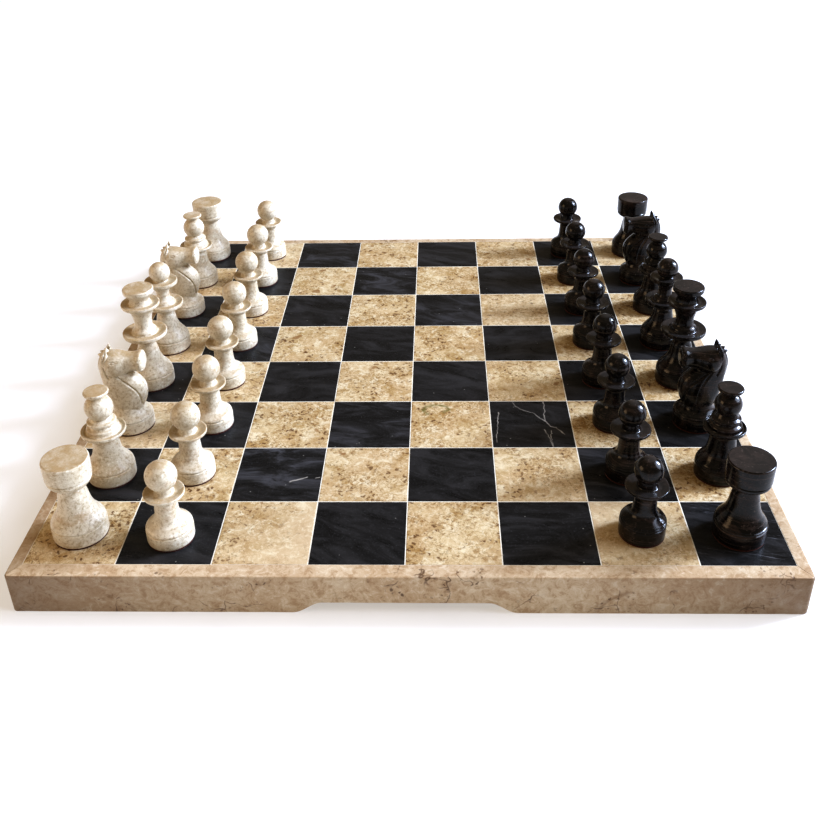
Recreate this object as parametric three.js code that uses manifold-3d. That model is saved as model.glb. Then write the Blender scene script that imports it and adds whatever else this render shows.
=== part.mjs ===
// Stone chess set: a tiled board in a mitred stone frame, with sixteen pale and sixteen
// dark chessmen standing at the start of a game. Millimetres, +Z up. The origin is at the
// middle of the board's underside. +X points from the pale men to the dark men, and -Y
// is the side whose rail has the finger recess.
import * as THREE from "three";
import { mergeVertices } from "three/addons/utils/BufferGeometryUtils.js";
import Module from "manifold-3d";

const manifold = await Module();
manifold.setup();

// Board: driving dimensions
const SQUARE = 50; // pitch of the squares, joint included
const SQUARES = 8;
const TILE_JOINT = 0.6; // open joint between two tiles
const BOARD_HEIGHT = 24.5;
const FIELD_HALF_WIDTH = 198.5; // tile field, from its centre to either side rail
const FIELD_FRONT = 200; // tile field, from its centre to the front rail
const FIELD_BACK = 199.5; // tile field, from its centre to the back rail
const RAIL_SIDE = 6.5; // widths of the rails' top faces
const RAIL_FRONT = 9;
const RAIL_BACK = 7;
const RAIL_ROUND = 1; // radius of a rail's outer top edge
const TILE_THICKNESS = 9.5;
const BEAD_THICKNESS = 1.2; // adhesive under the tiles
const PANEL_BOTTOM = 5.5;
const FIT_GAP = 0.3; // clearance between pieces that touch on the real board

// Finger recess in the front rail's bottom edge
const RECESS_HALF_WIDTH = 58;
const RECESS_HALF_FLAT = 43;
const RECESS_DEPTH = 6.8;

// Adhesive beads: offsets from the middle of a row of tiles, and widths
const LIGHT_BEADS = [{ offset: -14, width: 8 }, { offset: 14, width: 8 }];
const DARK_BEADS = [{ offset: 0, width: 12 }];

// Chessmen
const TURN_FACETS = 12; // facets round a turned man
const BALL_STEPS = 4; // steps up the side of a turned ball
const GROOVE_DEPTH = 0.7; // incised line above each foot
const BELL_STEPS = [0.5, 0.85, 1.25, 1.9]; // heights of a bell's steps, in half heights

// Sizes that differ between the two sides of hand-turned men
const PAWN = {
  white: { radius: 12.6, groove: 8.6, collar: 30.8, collarRadius: 10.8, ball: 41.2, ballRadius: 8.4 },
  black: { radius: 12.3, groove: 9.6, collar: 31.9, collarRadius: 11.3, ball: 41.9, ballRadius: 7.7 },
};
const ROOK = {
  white: { radius: 14.7, neck: 6.9, head: 12.3, headBottom: 37.6, height: 49.8 },
  black: { radius: 13.8, neck: 6.3, head: 12, headBottom: 36.6, height: 49.4 },
};
const BISHOP = {
  white: { radius: 13.8, collarRadius: 12.6, ballRadius: 8 },
  black: { radius: 13.3, collarRadius: 11.8, ballRadius: 7.5 },
};
const QUEEN = {
  white: { radius: 14, collar: 35.9, collarRadius: 13, crown: 52.8, crownRadius: 11.2 },
  black: { radius: 13.8, collar: 34.6, collarRadius: 12.8, crown: 51.6, crownRadius: 10.9 },
};
const KING = {
  white: { height: 71.2, crownRadius: 12.3 },
  black: { height: 70, crownRadius: 12 },
};

// Worked out from the driving dimensions
const BOARD_HALF_WIDTH = FIELD_HALF_WIDTH + RAIL_SIDE;
const BOARD_HALF_DEPTH = (FIELD_FRONT + RAIL_FRONT + FIELD_BACK + RAIL_BACK) / 2;
const FIELD_CENTRE_Y = FIELD_FRONT + RAIL_FRONT - BOARD_HALF_DEPTH;
const FIELD_FRONT_Y = FIELD_CENTRE_Y - FIELD_FRONT;
const FIELD_BACK_Y = FIELD_CENTRE_Y + FIELD_BACK;
const TILE_BOTTOM = BOARD_HEIGHT - TILE_THICKNESS;
const BEAD_BOTTOM = TILE_BOTTOM - BEAD_THICKNESS;
const PANEL_TOP = BEAD_BOTTOM - FIT_GAP;
const MAN_BASE = BOARD_HEIGHT + FIT_GAP;

const FINISHES = {
  paleMan: { color: 0xe4dccb, roughness: 0.3, metalness: 0 },
  darkMan: { color: 0x1f1b19, roughness: 0.18, metalness: 0 },
  paleTile: { color: 0xcbb48d, roughness: 0.4, metalness: 0 },
  darkTile: { color: 0x1d1d20, roughness: 0.3, metalness: 0 },
  rail: { color: 0xc4ab85, roughness: 0.45, metalness: 0 },
  panel: { color: 0x8c8378, roughness: 0.9, metalness: 0 },
};

const set = new THREE.Group();

function addPiece(name, geometry, finish, position = [0, 0, 0], turn = 0) {
  const mesh = new THREE.Mesh(geometry, new THREE.MeshStandardMaterial(FINISHES[finish]));
  mesh.name = name;
  mesh.position.set(...position);
  mesh.rotation.z = turn;
  set.add(mesh);
}

// Solids: a geometry becomes a manifold solid to be joined or cut, and comes back as one.

function solid(geometry) {
  const bare = geometry.clone();
  bare.deleteAttribute("normal");
  bare.deleteAttribute("uv");
  const merged = mergeVertices(bare, 1e-4);
  return new manifold.Manifold(new manifold.Mesh({
    numProp: 3,
    vertProperties: new Float32Array(merged.attributes.position.array),
    triVerts: new Uint32Array(merged.index.array),
  }));
}

function geometryOf(body) {
  const mesh = body.getMesh();
  const geometry = new THREE.BufferGeometry();
  geometry.setAttribute("position", new THREE.BufferAttribute(mesh.vertProperties, 3));
  geometry.setIndex(new THREE.BufferAttribute(mesh.triVerts, 1));
  geometry.computeVertexNormals();
  return geometry;
}

function joined(bodies) {
  return bodies.reduce((whole, body) => whole.add(body));
}

function block(x0, x1, y0, y1, z0, z1) {
  const geometry = new THREE.BoxGeometry(x1 - x0, y1 - y0, z1 - z0);
  return geometry.translate((x0 + x1) / 2, (y0 + y1) / 2, (z0 + z1) / 2);
}

// A shape drawn in the XZ plane, as wide as 2 * halfDepth along Y.
function sideExtrusion(shape, halfDepth, curveSegments) {
  const geometry = new THREE.ExtrudeGeometry(shape, {
    depth: 2 * halfDepth, bevelEnabled: false, curveSegments,
  });
  return geometry.rotateX(Math.PI / 2).translate(0, halfDepth, 0);
}

// A shape drawn in the XY plane, from z0 up to z1.
function planExtrusion(shape, z0, z1) {
  const geometry = new THREE.ExtrudeGeometry(shape, { depth: z1 - z0, bevelEnabled: false });
  return geometry.translate(0, 0, z0);
}

// A shape drawn in the YZ plane, from x0 to x1.
function endExtrusion(shape, x0, x1, curveSegments) {
  const geometry = new THREE.ExtrudeGeometry(shape, {
    depth: x1 - x0, bevelEnabled: false, curveSegments,
  });
  const drawnToWorld = new THREE.Matrix4().makeBasis(
    new THREE.Vector3(0, 1, 0),
    new THREE.Vector3(0, 0, 1),
    new THREE.Vector3(1, 0, 0),
  );
  return geometry.applyMatrix4(drawnToWorld).translate(x0, 0, 0);
}

function outline(points) {
  return new THREE.Shape(points.map(([x, y]) => new THREE.Vector2(x, y)));
}

// Board frame. A rail is drawn with its outer face on y = 0, its inner face on y = width
// and its length along X, and its ends are cut to the mitre lines.

function railBody(length, width, startInset, endInset) {
  const section = new THREE.Shape();
  section.moveTo(0, 0);
  section.lineTo(width, 0);
  section.lineTo(width, BOARD_HEIGHT);
  section.lineTo(RAIL_ROUND, BOARD_HEIGHT);
  section.absarc(RAIL_ROUND, BOARD_HEIGHT - RAIL_ROUND, RAIL_ROUND, Math.PI / 2, Math.PI, false);
  const bar = solid(endExtrusion(section, 0, length, 3));
  const mitreGap = FIT_GAP / 2;
  const plan = outline([
    [mitreGap, 0],
    [length - mitreGap, 0],
    [length - endInset - mitreGap, width],
    [startInset + mitreGap, width],
  ]);
  return bar.intersect(solid(planExtrusion(plan, 0, BOARD_HEIGHT)));
}

function fingerRecess() {
  const shoulder = (RECESS_HALF_FLAT + RECESS_HALF_WIDTH) / 2;
  const below = -1;
  const shape = new THREE.Shape();
  shape.moveTo(-RECESS_HALF_WIDTH, below);
  shape.lineTo(RECESS_HALF_WIDTH, below);
  shape.lineTo(RECESS_HALF_WIDTH, 0);
  shape.bezierCurveTo(shoulder, 0, shoulder, RECESS_DEPTH, RECESS_HALF_FLAT, RECESS_DEPTH);
  shape.lineTo(-RECESS_HALF_FLAT, RECESS_DEPTH);
  shape.bezierCurveTo(-shoulder, RECESS_DEPTH, -shoulder, 0, -RECESS_HALF_WIDTH, 0);
  return solid(sideExtrusion(shape, 2 * RAIL_FRONT, 6));
}

function addRails() {
  const width = 2 * BOARD_HALF_WIDTH;
  const depth = 2 * BOARD_HALF_DEPTH;
  const recess = fingerRecess().translate([BOARD_HALF_WIDTH, 0, 0]);
  const front = railBody(width, RAIL_FRONT, RAIL_SIDE, RAIL_SIDE).subtract(recess);
  const back = railBody(width, RAIL_BACK, RAIL_SIDE, RAIL_SIDE);
  const right = railBody(depth, RAIL_SIDE, RAIL_FRONT, RAIL_BACK);
  const left = railBody(depth, RAIL_SIDE, RAIL_BACK, RAIL_FRONT);
  addPiece("rail_front", geometryOf(front), "rail", [-BOARD_HALF_WIDTH, -BOARD_HALF_DEPTH, 0]);
  addPiece("rail_right", geometryOf(right), "rail", [BOARD_HALF_WIDTH, -BOARD_HALF_DEPTH, 0], Math.PI / 2);
  addPiece("rail_back", geometryOf(back), "rail", [BOARD_HALF_WIDTH, BOARD_HALF_DEPTH, 0], Math.PI);
  addPiece("rail_left", geometryOf(left), "rail", [-BOARD_HALF_WIDTH, BOARD_HALF_DEPTH, 0], -Math.PI / 2);
}

function addPanel() {
  const x = FIELD_HALF_WIDTH - FIT_GAP;
  const panel = block(-x, x, FIELD_FRONT_Y + FIT_GAP, FIELD_BACK_Y - FIT_GAP, PANEL_BOTTOM, PANEL_TOP);
  addPiece("backing_panel", panel, "panel");
}

// Tiles. Column and row numbers run from 0 at the left and at the front. A square is dark
// where their sum is odd.

function squareCentre(column, row) {
  const fromMiddle = (index) => (index - (SQUARES - 1) / 2) * SQUARE;
  return [fromMiddle(column), FIELD_CENTRE_Y + fromMiddle(row)];
}

function tileBounds(column, row) {
  const [x, y] = squareCentre(column, row);
  const half = (SQUARE - TILE_JOINT) / 2;
  return {
    x0: Math.max(x - half, -FIELD_HALF_WIDTH + FIT_GAP),
    x1: Math.min(x + half, FIELD_HALF_WIDTH - FIT_GAP),
    y0: Math.max(y - half, FIELD_FRONT_Y + FIT_GAP),
    y1: Math.min(y + half, FIELD_BACK_Y - FIT_GAP),
  };
}

// The four tiles of one colour in a row, on the adhesive beads that join them. A bead is
// full height under its own tiles and passes clear below the tiles of the other colour.
function tileRow(row, isDark) {
  const columns = [...Array(SQUARES).keys()].filter((column) => (column + row) % 2 === (isDark ? 1 : 0));
  const tiles = columns.map((column) => tileBounds(column, row));
  const bodies = tiles.map((tile) => (
    solid(block(tile.x0, tile.x1, tile.y0, tile.y1, TILE_BOTTOM, BOARD_HEIGHT))
  ));
  const [, middle] = squareCentre(0, row);
  const overlap = 0.5;
  const inset = 2;
  for (const bead of isDark ? DARK_BEADS : LIGHT_BEADS) {
    const y0 = middle + bead.offset - bead.width / 2;
    const y1 = y0 + bead.width;
    const start = tiles[0].x0 + inset;
    const end = tiles.at(-1).x1 - inset;
    bodies.push(solid(block(start, end, y0, y1, BEAD_BOTTOM, TILE_BOTTOM - FIT_GAP)));
    for (const tile of tiles) {
      const pad = block(tile.x0 + inset, tile.x1 - inset, y0, y1, BEAD_BOTTOM, TILE_BOTTOM + overlap);
      bodies.push(solid(pad));
    }
  }
  return geometryOf(joined(bodies));
}

const FILE_LETTERS = "hgfedcba"; // from the front row to the back row

function addTiles() {
  [...FILE_LETTERS].forEach((letter, row) => {
    addPiece(`light_tiles_file_${letter}`, tileRow(row, false), "paleTile");
    addPiece(`dark_tiles_file_${letter}`, tileRow(row, true), "darkTile");
  });
}

// Chessmen. Profiles are [radius, height] points from the axis at the bottom to the axis
// at the top, with height measured from the square.

// A drum with an incised line above it, and a bell that sweeps in to the neck. The bell is
// halfway in at a height of half above the line, and a steep bell turns in sharply.
function foot({ radius, groove, half, steepness, neck, neckHeight }) {
  const bell = BELL_STEPS.map((step) => {
    const share = 1 / (1 + step ** steepness);
    return [neck + (radius - neck) * share, groove + step * half];
  });
  return [
    [0, 0],
    [radius, 0],
    [radius, groove - 0.5],
    [radius - GROOVE_DEPTH, groove],
    [radius - 0.2, groove + 0.6],
    ...bell,
    [neck, neckHeight],
  ];
}

// A thin dished collar that flares out of a stem, under a rim of the given thickness.
function collar({ height, radius, stem, dish, flare, rim = 1.4 }) {
  return [
    [stem, height - flare],
    [radius, height + 0.7 - rim],
    [radius, height + 0.7],
    [dish, height + 0.4],
  ];
}

function ball({ height, radius, stem, top = 90 }) {
  const start = -Math.acos(stem / radius);
  const end = THREE.MathUtils.degToRad(top);
  const points = [];
  for (let step = 0; step <= BALL_STEPS; step += 1) {
    const angle = start + ((end - start) * step) / BALL_STEPS;
    points.push([Math.max(0, radius * Math.cos(angle)), height + radius * Math.sin(angle)]);
  }
  return points;
}

function turned(profile) {
  const points = profile.map(([radius, height]) => new THREE.Vector2(radius < 1e-6 ? 0 : radius, height));
  const geometry = new THREE.LatheGeometry(points, TURN_FACETS);
  geometry.rotateX(Math.PI / 2);
  return geometryOf(solid(geometry));
}

function pawn(side) {
  const size = PAWN[side];
  return turned([
    ...foot({ ...size, half: 3.8, steepness: 3.2, neck: 6.1, neckHeight: 24 }),
    ...collar({ height: size.collar, radius: size.collarRadius, stem: 6.2, dish: 5, flare: 4 }),
    ...ball({ height: size.ball, radius: size.ballRadius, stem: 4.6 }),
  ]);
}

function rook(side) {
  const size = ROOK[side];
  return turned([
    ...foot({ ...size, groove: 9.4, half: 6.7, steepness: 2, neckHeight: 33 }),
    [size.head - 2, 34.6],
    [size.head - 0.1, size.headBottom],
    [size.head, size.height - 0.8],
    [size.head - 0.6, size.height],
    [0, size.height],
  ]);
}

function bishop(side) {
  const size = BISHOP[side];
  return turned([
    ...foot({ ...size, groove: 8.8, half: 5.4, steepness: 2.4, neck: 7.1, neckHeight: 27 }),
    ...collar({ height: 33, radius: size.collarRadius, stem: 7.1, dish: 9.4, flare: 4, rim: 1.9 }),
    [8.4, 36.4],
    [6.6, 37.6],
    [8, 39.4],
    [6.2, 41],
    ...ball({ height: 47.9, radius: size.ballRadius, stem: 5.6, top: 58 }),
    [6.6, 56.4],
    [7.1, 58],
    [0, 59],
  ]);
}

function queen(side) {
  const size = QUEEN[side];
  return turned([
    ...foot({ ...size, groove: 9, half: 7.1, steepness: 2.3, neck: 5.5, neckHeight: 28 }),
    ...collar({ height: size.collar, radius: size.collarRadius, stem: 5.8, dish: 7.6, flare: 5.2, rim: 2.5 }),
    [6.8, size.collar + 2.4],
    [4.6, size.collar + 5.4],
    ...collar({ height: size.crown, radius: size.crownRadius, stem: 4.9, dish: 5, flare: 6.4, rim: 2.6 }),
    ...ball({ height: size.crown + 6.3, radius: 7.2, stem: 4.2 }),
  ]);
}

function king(side) {
  const size = KING[side];
  const crown = size.height - 11;
  return turned([
    ...foot({ radius: 14.3, groove: 9.4, half: 7.4, steepness: 2.3, neck: 5.6, neckHeight: 30 }),
    ...collar({ height: 39.3, radius: 14.2, stem: 6, dish: 8.4, flare: 5.6, rim: 2.5 }),
    [7.4, 41.8],
    [5.6, 45],
    [6, crown - 8.7],
    ...collar({ height: crown, radius: size.crownRadius, stem: 7.4, dish: 7, flare: 5, rim: 2 }),
    [6.2, crown + 3.2],
    [8, crown + 6],
    [9.8, crown + 8.2],
    [9.8, crown + 10.6],
    [0, crown + 11],
  ]);
}

// Knight: a turned foot, a neck and a head carved to their outlines from two sides, a
// notched mane and two ears. It faces +X.

function knightNeck() {
  const side = new THREE.Shape();
  side.moveTo(-9.5, 12);
  side.bezierCurveTo(-12.5, 24, -15.5, 36, -14, 44);
  side.quadraticCurveTo(-12.8, 50.5, -8, 53.5);
  side.lineTo(0, 47);
  side.lineTo(3, 40);
  side.quadraticCurveTo(9.5, 36.5, 12.4, 29.5);
  side.quadraticCurveTo(13.6, 22, 9.5, 12);
  const front = outline([
    [-9.4, 12], [9.4, 12], [9, 22], [6.6, 37], [4.6, 54], [-4.6, 54], [-6.6, 37], [-9, 22],
  ]);
  return solid(sideExtrusion(side, 10, 5)).intersect(solid(endExtrusion(front, -20, 20)));
}

function knightHead() {
  const side = new THREE.Shape();
  side.moveTo(-11.5, 43);
  side.quadraticCurveTo(-10.5, 38, -5.5, 38);
  side.quadraticCurveTo(0, 38.2, 2, 41.6);
  side.lineTo(7, 42.6);
  side.lineTo(10.5, 41.4);
  side.lineTo(13, 43);
  side.quadraticCurveTo(14.6, 48.3, 11.2, 52.6);
  side.lineTo(7, 51.2);
  side.lineTo(0, 51.6);
  side.lineTo(-4, 53.8);
  side.lineTo(-9, 53);
  const plan = outline([
    [-12, -4.6], [-6, -7.2], [-1, -6.8], [7, -4.6], [11.5, -6], [14.5, -5.4],
    [14.5, 5.4], [11.5, 6], [7, 4.6], [-1, 6.8], [-6, 7.2], [-12, 4.6],
  ]);
  return solid(sideExtrusion(side, 8, 4)).intersect(solid(planExtrusion(plan, 30, 60)));
}

function knightMane() {
  const mane = outline([
    [-6, 50], [-6.2, 56.6], [-9.4, 53.6], [-10.6, 54.6], [-12.2, 51], [-13.6, 51.6], [-14.2, 47.6],
    [-15.6, 47], [-15.2, 42], [-14.8, 36], [-10, 36],
  ]);
  return solid(sideExtrusion(mane, 1.6, 1));
}

function knightEar(side) {
  const ear = new THREE.ConeGeometry(1.9, 7, 6);
  ear.rotateX(Math.PI / 2);
  return solid(ear.translate(-6, side * 3, 54.4));
}

function knight() {
  const base = foot({ radius: 13.8, groove: 8.8, half: 3.2, steepness: 2.6, neck: 8, neckHeight: 17 });
  const bodies = [solid(turned([...base, [0, 17]])), knightNeck(), knightHead(), knightMane()];
  bodies.push(knightEar(-1), knightEar(1));
  return geometryOf(joined(bodies));
}

const KINDS = { pawn, rook, knight, bishop, queen, king };

// Men that stand a little off the middle of their squares, as set down by hand: [x, y].
const OFF_CENTRE = {
  white_rook_h: [0, -0.5],
  white_bishop_g: [2.4, -1.4],
  white_queen: [0.5, -3],
  white_pawn_h: [-0.2, -4.2],
  white_pawn_f: [1.2, 0],
  black_rook_h: [0, -1.5],
  black_bishop_g: [1.9, 0],
  black_knight_f: [1, 1.5],
  black_king: [0.6, 0],
  black_queen: [-1, 0],
  black_bishop_c: [2.7, 1],
  black_knight_b: [1, 0],
  black_rook_a: [3.2, 1.5],
  black_pawn_h: [-0.5, -0.6],
};

// Men of each side, from the front row to the back row.
const SIDES = [
  {
    name: "white",
    finish: "paleMan",
    homeColumn: 0,
    pawnColumn: 1,
    turn: 0,
    home: ["rook", "bishop", "knight", "king", "queen", "knight", "bishop", "rook"],
  },
  {
    name: "black",
    finish: "darkMan",
    homeColumn: 7,
    pawnColumn: 6,
    turn: Math.PI,
    home: ["rook", "bishop", "knight", "king", "queen", "bishop", "knight", "rook"],
  },
];

function manName(side, kind, letter) {
  const isSingle = kind === "king" || kind === "queen";
  return isSingle ? `${side}_${kind}` : `${side}_${kind}_${letter}`;
}

function addMen() {
  for (const side of SIDES) {
    const shapes = Object.fromEntries(Object.entries(KINDS).map(([kind, make]) => [kind, make(side.name)]));
    const stand = (kind, column, row) => {
      const name = manName(side.name, kind, FILE_LETTERS[row]);
      const [x, y] = squareCentre(column, row);
      const [offX, offY] = OFF_CENTRE[name] ?? [0, 0];
      addPiece(name, shapes[kind], side.finish, [x + offX, y + offY, MAN_BASE], side.turn);
    };
    side.home.forEach((kind, row) => {
      stand(kind, side.homeColumn, row);
      stand("pawn", side.pawnColumn, row);
    });
  }
}

addRails();
addPanel();
addTiles();
addMen();

export default set;
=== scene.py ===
# Stone chess set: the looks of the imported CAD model. Everything is in metres in the CAD
# frame: +X points from the white men to the black men, -Y is the side with the finger
# recess and z = 0 is the surface that the board stands on.
import math
from itertools import product

import bmesh
import bpy
from mathutils import Matrix, Vector, noise


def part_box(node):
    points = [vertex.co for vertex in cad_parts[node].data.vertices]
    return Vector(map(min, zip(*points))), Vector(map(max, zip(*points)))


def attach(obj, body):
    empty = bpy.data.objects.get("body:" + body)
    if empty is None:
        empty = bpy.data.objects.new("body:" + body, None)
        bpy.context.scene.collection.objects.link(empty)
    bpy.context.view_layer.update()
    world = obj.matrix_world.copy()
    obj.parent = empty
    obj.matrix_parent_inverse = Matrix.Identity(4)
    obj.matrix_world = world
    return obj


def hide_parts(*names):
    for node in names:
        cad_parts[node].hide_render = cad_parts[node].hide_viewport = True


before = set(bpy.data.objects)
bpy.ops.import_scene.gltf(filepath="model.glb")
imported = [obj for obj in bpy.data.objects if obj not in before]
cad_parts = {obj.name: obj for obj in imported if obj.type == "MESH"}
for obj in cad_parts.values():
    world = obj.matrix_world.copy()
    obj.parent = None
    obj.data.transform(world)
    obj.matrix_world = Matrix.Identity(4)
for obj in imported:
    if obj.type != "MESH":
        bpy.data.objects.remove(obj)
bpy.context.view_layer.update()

MM = 0.001
FILES = "hgfedcba"  # rows of squares from the front to the back
SQUARES = 8

# Board, from the CAD nodes
rail_low, rail_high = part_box("rail_front")
BOARD_TOP = rail_high.z
TILE_DEPTH = 9.5 * MM
GROUT_SINK = 0.12 * MM  # how far the grout lies below the tiles
TILE_EDGE = 0.22 * MM  # eased edge of a tile
RAIL_CORNER = 2.2 * MM  # rounding of the frame's outer corners, in plan
RAIL_ARRIS = 0.9 * MM  # rounding of a rail's outer top edge
RAIL_FOOT = 0.6 * MM  # rounding of a rail's outer bottom edge
RAIL_CHIP = 0.25 * MM  # deepest chip in a rounded edge
RAIL_GAP = 0.15 * MM  # hairline of each mitre
STATION_PITCH = 6 * MM  # spacing of the points along a rail's edges
CORNER_STEPS = 5  # facets of half an outer corner
OGEE_STEPS = 12  # facets of each end of the recess
RECESS_HALF_WIDTH = 58 * MM
RECESS_HALF_FLAT = 43 * MM
RECESS_DEPTH = 6.8 * MM

# Men
TURN_STEPS = 64  # facets round a turned man
CURVE_STEPS = 4  # facets in each rounded corner of a profile
FELT = 0.8 * MM
HAND_WOBBLE = 0.09 * MM  # how far a hand-turned surface strays
WOBBLE_RING = 0.012  # radius of the ring on which a noise is read for it
WOBBLE_RATE = 90

# The camera, from the middle of the squares on the board's top
CAMERA_OFFSET = Vector((0.0185, -0.5691, 0.3473))
CAMERA_LENS = 42.245
CAMERA_SHIFT = (0.0, -0.1095)
CAMERA_PITCH = math.radians(28.918)
CAMERA_YAW = math.radians(2.059)
CAMERA_ROLL = math.radians(-1.318)


# -------- mesh helpers

def in_scene(name, data):
    """A new object that holds a mesh, a lamp or a camera."""
    made = bpy.data.objects.new(name, data)
    bpy.context.scene.collection.objects.link(made)
    return made


def mesh_of(name, work):
    """A mesh made from a bmesh, which is used up."""
    mesh = bpy.data.meshes.new(name)
    work.to_mesh(mesh)
    work.free()
    return mesh


def edit(mesh, change):
    """Lets a function change a mesh that it is given as a bmesh."""
    work = bmesh.new()
    work.from_mesh(mesh)
    change(work)
    work.to_mesh(mesh)
    work.free()


def piece_from(name, vertices, faces, material, body, nodes=(), smooth=True):
    """A piece that rides on a body, takes a slot's finish and stands for CAD nodes."""
    mesh = bpy.data.meshes.new(name)
    mesh.from_pydata([tuple(v) for v in vertices], [], faces)
    mesh.validate()
    mesh.update()
    mesh.shade_smooth() if smooth else mesh.shade_flat()
    mesh.materials.append(material)
    piece = in_scene(name, mesh)
    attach(piece, body)
    if nodes:
        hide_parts(*nodes)
    return piece


def outward(work):
    """Turns every face of a bmesh to the outside."""
    bmesh.ops.recalc_face_normals(work, faces=work.faces)


def sharpen(piece, degrees):
    """Smooth shading that stays crisp at edges sharper than the angle."""
    limit = math.radians(degrees)

    def mark_edges(work):
        for edge in work.edges:
            edge.smooth = len(edge.link_faces) == 2 and edge.calc_face_angle(0.0) < limit

    edit(piece.data, mark_edges)


def rounded(corners, steps=CURVE_STEPS):
    """A line through corners (x, y, radius), with a smooth curve in place of each corner."""
    line = []
    for index, (x, y, size) in enumerate(corners):
        point = Vector((x, y))
        if size <= 0 or index in (0, len(corners) - 1):
            line.append(point)
            continue
        before = Vector(corners[index - 1][:2]) - point
        after = Vector(corners[index + 1][:2]) - point
        start = point + before.normalized() * min(size, before.length * 0.48)
        end = point + after.normalized() * min(size, after.length * 0.48)
        for step in range(steps + 1):
            t = step / steps
            line.append(start * (1 - t) ** 2 + point * (2 * t * (1 - t)) + end * t ** 2)
    return line


def paint(piece, name, kind, key, values):
    """Gives each vertex of a piece its own value of a named attribute."""
    layer = piece.data.attributes.new(name, kind, "POINT")
    for item, value in zip(layer.data, values):
        setattr(item, key, value)


def ring_faces(rings, steps, first=0):
    """Quads between rings of points, where each ring is listed after the one before it."""
    faces = []
    for low in range(first, first + (rings - 1) * steps, steps):
        for step in range(steps):
            after = (step + 1) % steps
            faces.append((low + step, low + after, low + steps + after, low + steps + step))
    return faces


def skin(rings, steps):
    """Such quads, and a face over each end."""
    last = (rings - 1) * steps
    return [tuple(reversed(range(steps))), *ring_faces(rings, steps), tuple(range(last, last + steps))]


def lathe(profile, centre, wobble, seed):
    """Vertices and faces of a profile of (radius, height) turned about a vertical axis."""
    vertices = [Vector((centre.x, centre.y, centre.z + profile[0].y))]
    rings = profile[1:-1]
    for point in rings:
        for step in range(TURN_STEPS):
            angle = 2 * math.pi * step / TURN_STEPS
            around = Vector((math.cos(angle), math.sin(angle)))
            sample = Vector((around.x * WOBBLE_RING, around.y * WOBBLE_RING, point.y))
            radius = point.x + wobble * noise.noise(sample * WOBBLE_RATE + seed)
            spot = Vector((around.x * radius, around.y * radius, point.y))
            vertices.append(centre + spot)
    vertices.append(Vector((centre.x, centre.y, centre.z + profile[-1].y)))
    faces = ring_faces(len(rings), TURN_STEPS, 1)
    last = len(vertices) - 1
    top = last - TURN_STEPS
    for step in range(TURN_STEPS):
        after = (step + 1) % TURN_STEPS
        faces += [(0, 1 + after, 1 + step), (top + step, top + after, last)]
    return vertices, faces


# -------- materials

class Nodes:
    """Short calls that add nodes to a shader tree."""

    def __init__(self, tree):
        self.tree = tree

    def feed(self, socket, value):
        if isinstance(value, bpy.types.NodeSocket):
            self.tree.links.new(value, socket)
        else:
            socket.default_value = value

    def node(self, kind, inputs, **settings):
        """Outputs of a new node, with its inputs given by name or number, and its settings."""
        made = self.tree.nodes.new("ShaderNode" + kind)
        for name, value in settings.items():
            setattr(made, name, value)
        for name, value in inputs.items():
            self.feed(made.inputs[name], value)
        return made.outputs

    def ramp(self, value, low, high, out_low=0.0, out_high=1.0, shape="SMOOTHSTEP"):
        span = {"From Min": low, "From Max": high, "To Min": out_low, "To Max": out_high}
        return self.node("MapRange", {"Value": value, **span}, interpolation_type=shape)["Result"]

    def maths(self, operation, a, b):
        return self.node("Math", {0: a, 1: b}, operation=operation)["Value"]

    def times(self, total, *factors):
        for factor in factors:
            total = self.maths("MULTIPLY", total, factor)
        return total

    def mix(self, amount, a, b):
        made = self.tree.nodes.new("ShaderNodeMix")
        made.data_type = "RGBA"
        self.feed(made.inputs["Factor"], amount)
        colours = [socket for socket in made.inputs if socket.type == "RGBA"]
        self.feed(colours[0], a)
        self.feed(colours[1], b)
        return [socket for socket in made.outputs if socket.type == "RGBA"][0]


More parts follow.
